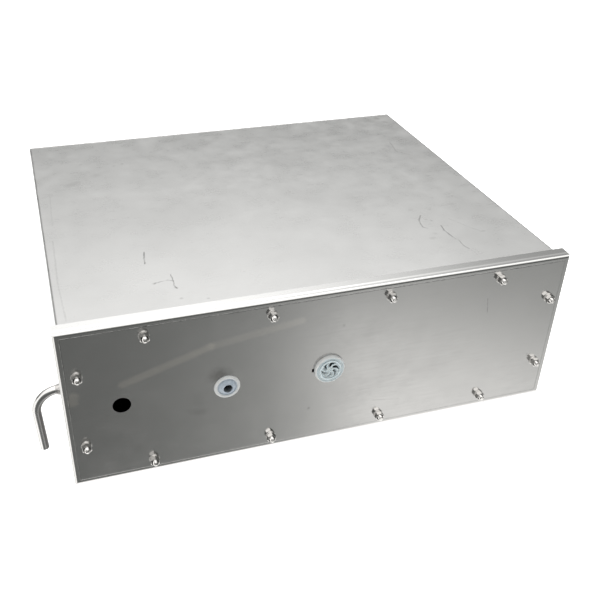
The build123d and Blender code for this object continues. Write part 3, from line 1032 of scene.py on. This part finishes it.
def make_pipe():
    """Overflow pipe: out through the wall, round its bend and down a little past upright."""
    low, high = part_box("overflow_pipe")
    middle_y = (low.y + high.y) / 2
    outer = (high.y - low.y) / 2
    bend_x = low.x + outer + PIPE_BEND
    bend_z = high.z - outer - PIPE_BEND
    stations = [(high.x, bend_z + PIPE_BEND, 0.0)]
    steps = 40
    for k in range(steps + 1):
        turn = (math.pi / 2 + PIPE_LEAN) * k / steps
        x = bend_x - PIPE_BEND * math.sin(turn)
        stations.append((x, bend_z + PIPE_BEND * math.cos(turn), turn))
    last_x, last_z, turn = stations[-1]
    run = (last_z - low.z - outer * math.sin(PIPE_LEAN)) / math.cos(PIPE_LEAN)
    end_x = last_x + run * math.sin(PIPE_LEAN)
    stations.append((end_x, last_z - run * math.cos(PIPE_LEAN), turn))
    sides = 64
    vertices = []
    rings = [(outer, station) for station in stations]
    rings.append((outer - 0.3 * MM, stations[-1]))
    rings += [(outer - PIPE_WALL, station) for station in reversed(stations)]
    for radius, (x, z, turn) in rings:
        for j in range(sides):
            angle = 2 * math.pi * j / sides
            out = radius * math.sin(angle)
            y = middle_y + radius * math.cos(angle)
            vertices.append((x - out * math.sin(turn), y, z + out * math.cos(turn)))
    shape = Shape()
    shape.add(vertices, grid_faces(len(rings), sides))
    shape.piece("bent_overflow_pipe", "tank", pipe_steel, ["overflow_pipe"], "pipe_steel", 50)


def make_pipe_weld():
    """Rippled fillet weld round the overflow pipe: thick at the wall, and running out along it."""
    low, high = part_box("pipe_weld_ring")
    pipe_low, pipe_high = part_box("overflow_pipe")
    pipe_radius = (pipe_high.y - pipe_low.y) / 2
    length = high.x - low.x
    middle_y = (low.y + high.y) / 2
    foot_radius = (high.y - low.y) / 2
    foot_z = (low.z + high.z) / 2
    pipe_z = foot_z + 1.0 * MM
    tip_z = pipe_z - 0.3 * MM
    tip_radius = pipe_radius + 0.15 * MM
    rng = random.Random(WELD_SEED)
    sides = 96
    rings = 16
    waves = 4
    phases = [rng.uniform(0, 2 * math.pi) for _ in range(waves)]
    vertices = []
    for i in range(rings):
        share = i / (rings - 1)
        swell = 0.5 + 0.5 * abs(math.sin(math.pi * 5 * share + 0.4))
        for j in range(sides):
            angle = 2 * math.pi * j / sides
            lumps = [math.sin((3 + 2 * k) * angle + phases[k] + 4 * share) for k in range(waves)]
            radius = foot_radius + (tip_radius - foot_radius) * share**0.8
            ripple = 0.35 * swell + 0.3 * sum(lumps) / waves
            radius += ripple * MM * math.sin(math.pi * share)
            radius = max(radius, pipe_radius + 0.1 * MM)
            y = middle_y + radius * math.cos(angle)
            z = foot_z * (1 - share) + tip_z * share + radius * math.sin(angle)
            vertices.append((high.x - length * share, y, z))
    for x, z in ((low.x, tip_z), (high.x, pipe_z)):
        for j in range(sides):
            angle = 2 * math.pi * j / sides
            y = middle_y + pipe_radius * math.cos(angle)
            vertices.append((x, y, z + pipe_radius * math.sin(angle)))
    shape = Shape()
    shape.add(vertices, grid_faces(rings + 2, sides))
    shape.piece("pipe_weld_bead", "tank", bead_metal, ["pipe_weld_ring"], "weld_metal", 60)


# ---------------------------------------------------------------- stage


# The surround, as the steel mirrors it. Each list holds stops: (part of the direction, brightness).
# Far half above the horizon, by the upward part
DOME_STOPS = [
    (0.0, 0.05),
    (0.25, 0.1),
    (0.33, 0.15),
    (0.37, 0.3),
    (0.4, 0.62),
    (0.44, 0.88),
    (0.5, 1.06),
    (0.56, 1.22),
    (0.65, 1.45),
    (0.8, 1.8),
]
# Near half above the horizon, by the upward part
NEAR_STOPS = [
    (0.0, 0.16),
    (0.3, 0.22),
    (0.42, 0.38),
    (0.52, 0.9),
    (0.6, 1.6),
    (0.75, 1.7),
    (1.0, 1.4),
]
# Right-hand side below the horizon, by the downward part
RIGHT_STOPS = [
    (0.0, 0.12),
    (0.36, 0.16),
    (0.44, 0.36),
    (0.47, 0.43),
    (0.51, 0.5),
    (0.54, 0.62),
    (0.575, 0.84),
    (0.61, 0.98),
    (0.65, 1.1),
    (0.7, 1.25),
]
# How much of that right-hand side shows, by the rightward part
SIDE_STOPS = [
    (0.0, 0.0),
    (0.09, 0.05),
    (0.143, 0.1),
    (0.23, 0.22),
    (0.27, 0.38),
    (0.34, 0.92),
    (0.37, 1.0),
]
# Share of the far dome's brightness, by the rightward part
ACROSS_STOPS = [(0.0, 0.93), (0.12, 1.0), (0.25, 0.98), (0.42, 0.93), (0.52, 0.8), (0.75, 0.68)]
# Brightest value that a list of stops may hold
BRIGHTEST = 2.5

# Brightness of the middle below the horizon, of a strip just under the horizon, of the card on the
# left, of the far half below the horizon on the left and on the right, and of what lies straight down
DARK_SIDE = 0.18
DARK_HORIZON = 0.14
LEFT_CARD = 1.5
BACK_LEFT = 1.3
BACK_RIGHT = 0.3
FLOOR_LIGHT = 1.5

# Tint of dim and of bright light
DIM_TINT = (0.97, 1.0, 0.965, 1.0)
BRIGHT_TINT = (1.0, 0.995, 0.975, 1.0)


def world_light():
    """Soft studio surround: a dome that fades towards the horizon, and below it a dark middle
    between a white card on the left and a side on the right that brightens downward."""
    world = bpy.data.worlds.new("studio")
    bpy.context.scene.world = world
    world.use_nodes = True
    tree = NodeTree(world.node_tree)
    split = tree.node("ShaderNodeSeparateXYZ")
    tree.put(split.inputs[0], tree.node("ShaderNodeTexCoord").outputs["Generated"])
    x, y, z = split.outputs

    below = tree.mix(tree.ramp(z, -0.46, -0.34, 1.0, 0.0), DARK_HORIZON, DARK_SIDE)
    right = tree.curve(tree.math("MULTIPLY", z, -1.0), RIGHT_STOPS)
    below = tree.mix(tree.curve(x, SIDE_STOPS), below, right)
    back = tree.ramp(x, 0.3, 0.5, BACK_LEFT, BACK_RIGHT)
    below = tree.mix(tree.ramp(y, -0.1, 0.3), below, back)
    below = tree.mix(tree.ramp(z, -0.86, -0.74, 1.0, 0.0), below, FLOOR_LIGHT)

    far = tree.math("MULTIPLY", tree.curve(z, DOME_STOPS), tree.curve(x, ACROSS_STOPS))
    dome = tree.mix(tree.ramp(y, -0.15, 0.25), tree.curve(z, NEAR_STOPS), far)

    light = tree.mix(tree.ramp(z, -0.02, 0.05), below, dome)
    card = tree.math("MULTIPLY", tree.ramp(y, -0.66, -0.45), tree.ramp(y, -0.1, 0.3, 1.0, 0.0))
    card = tree.math("MULTIPLY", tree.ramp(x, -0.5, -0.2, 1.0, 0.0), card)
    light = tree.mix(card, light, LEFT_CARD)

    background = tree.node("ShaderNodeBackground")
    tree.put(background.inputs["Color"], tree.blend(light, DIM_TINT, BRIGHT_TINT))
    tree.put(background.inputs["Strength"], light)
    tree.put(tree.node("ShaderNodeOutputWorld").inputs["Surface"], background.outputs[0])


def overhead_light():
    """A large square soft light above the tank, aimed at its foot."""
    light = bpy.data.lights.new("overhead", "AREA")
    light.size = OVERHEAD_SIZE
    light.energy = OVERHEAD_POWER
    obj = bpy.data.objects.new("overhead", light)
    obj.location = OVERHEAD_PLACE
    obj.rotation_mode = "QUATERNION"
    obj.rotation_quaternion = (-Vector(OVERHEAD_PLACE)).to_track_quat("-Z", "Y")
    bpy.context.scene.collection.objects.link(obj)


def make_floor():
    """Pale floor, which mirrors in nothing: the surround gives the reflections."""
    mesh = bpy.data.meshes.new("floor")
    z = cad_low.z - FLOOR_GAP
    quarters = ((-1, -1), (1, -1), (1, 1), (-1, 1))
    corners = [(x * FLOOR_REACH, y * FLOOR_REACH, z) for x, y in quarters]
    mesh.from_pydata(corners, [], [(0, 1, 2, 3)])
    obj = bpy.data.objects.new("floor", mesh)
    bpy.context.scene.collection.objects.link(obj)
    graph = Graph("floor_paper")
    speckle = graph.noise(400.0, detail=2.0)
    graph.set(Base_Color=graph.blend(speckle, grey(0.88), grey(0.90)), Roughness=0.9)
    graph.set(Emission_Color=(1, 1, 1, 1), Emission_Strength=FLOOR_GLOW)
    mesh.materials.append(graph.material)
    obj.visible_glossy = False


def make_camera():
    """The camera, aimed with a small roll."""
    data = bpy.data.cameras.new("camera")
    data.lens = CAMERA_LENS
    data.sensor_width = 36.0
    data.shift_x, data.shift_y = CAMERA_SHIFT
    data.clip_end = 100.0
    obj = bpy.data.objects.new("camera", data)
    bpy.context.scene.collection.objects.link(obj)
    obj.location = CAMERA_PLACE
    aim = (CAMERA_TARGET - CAMERA_PLACE).to_track_quat("-Z", "Y")
    obj.rotation_mode = "QUATERNION"
    obj.rotation_quaternion = aim @ Matrix.Rotation(CAMERA_ROLL, 3, "Z").to_quaternion()
    bpy.context.scene.camera = obj


make_fasteners()
make_tube_grommet()
make_vent_ring()
make_vent_insert()
make_seams()
make_pipe()
make_pipe_weld()
world_light()
make_floor()
overhead_light()
make_camera()
bpy.context.scene.view_settings.view_transform = "Standard"
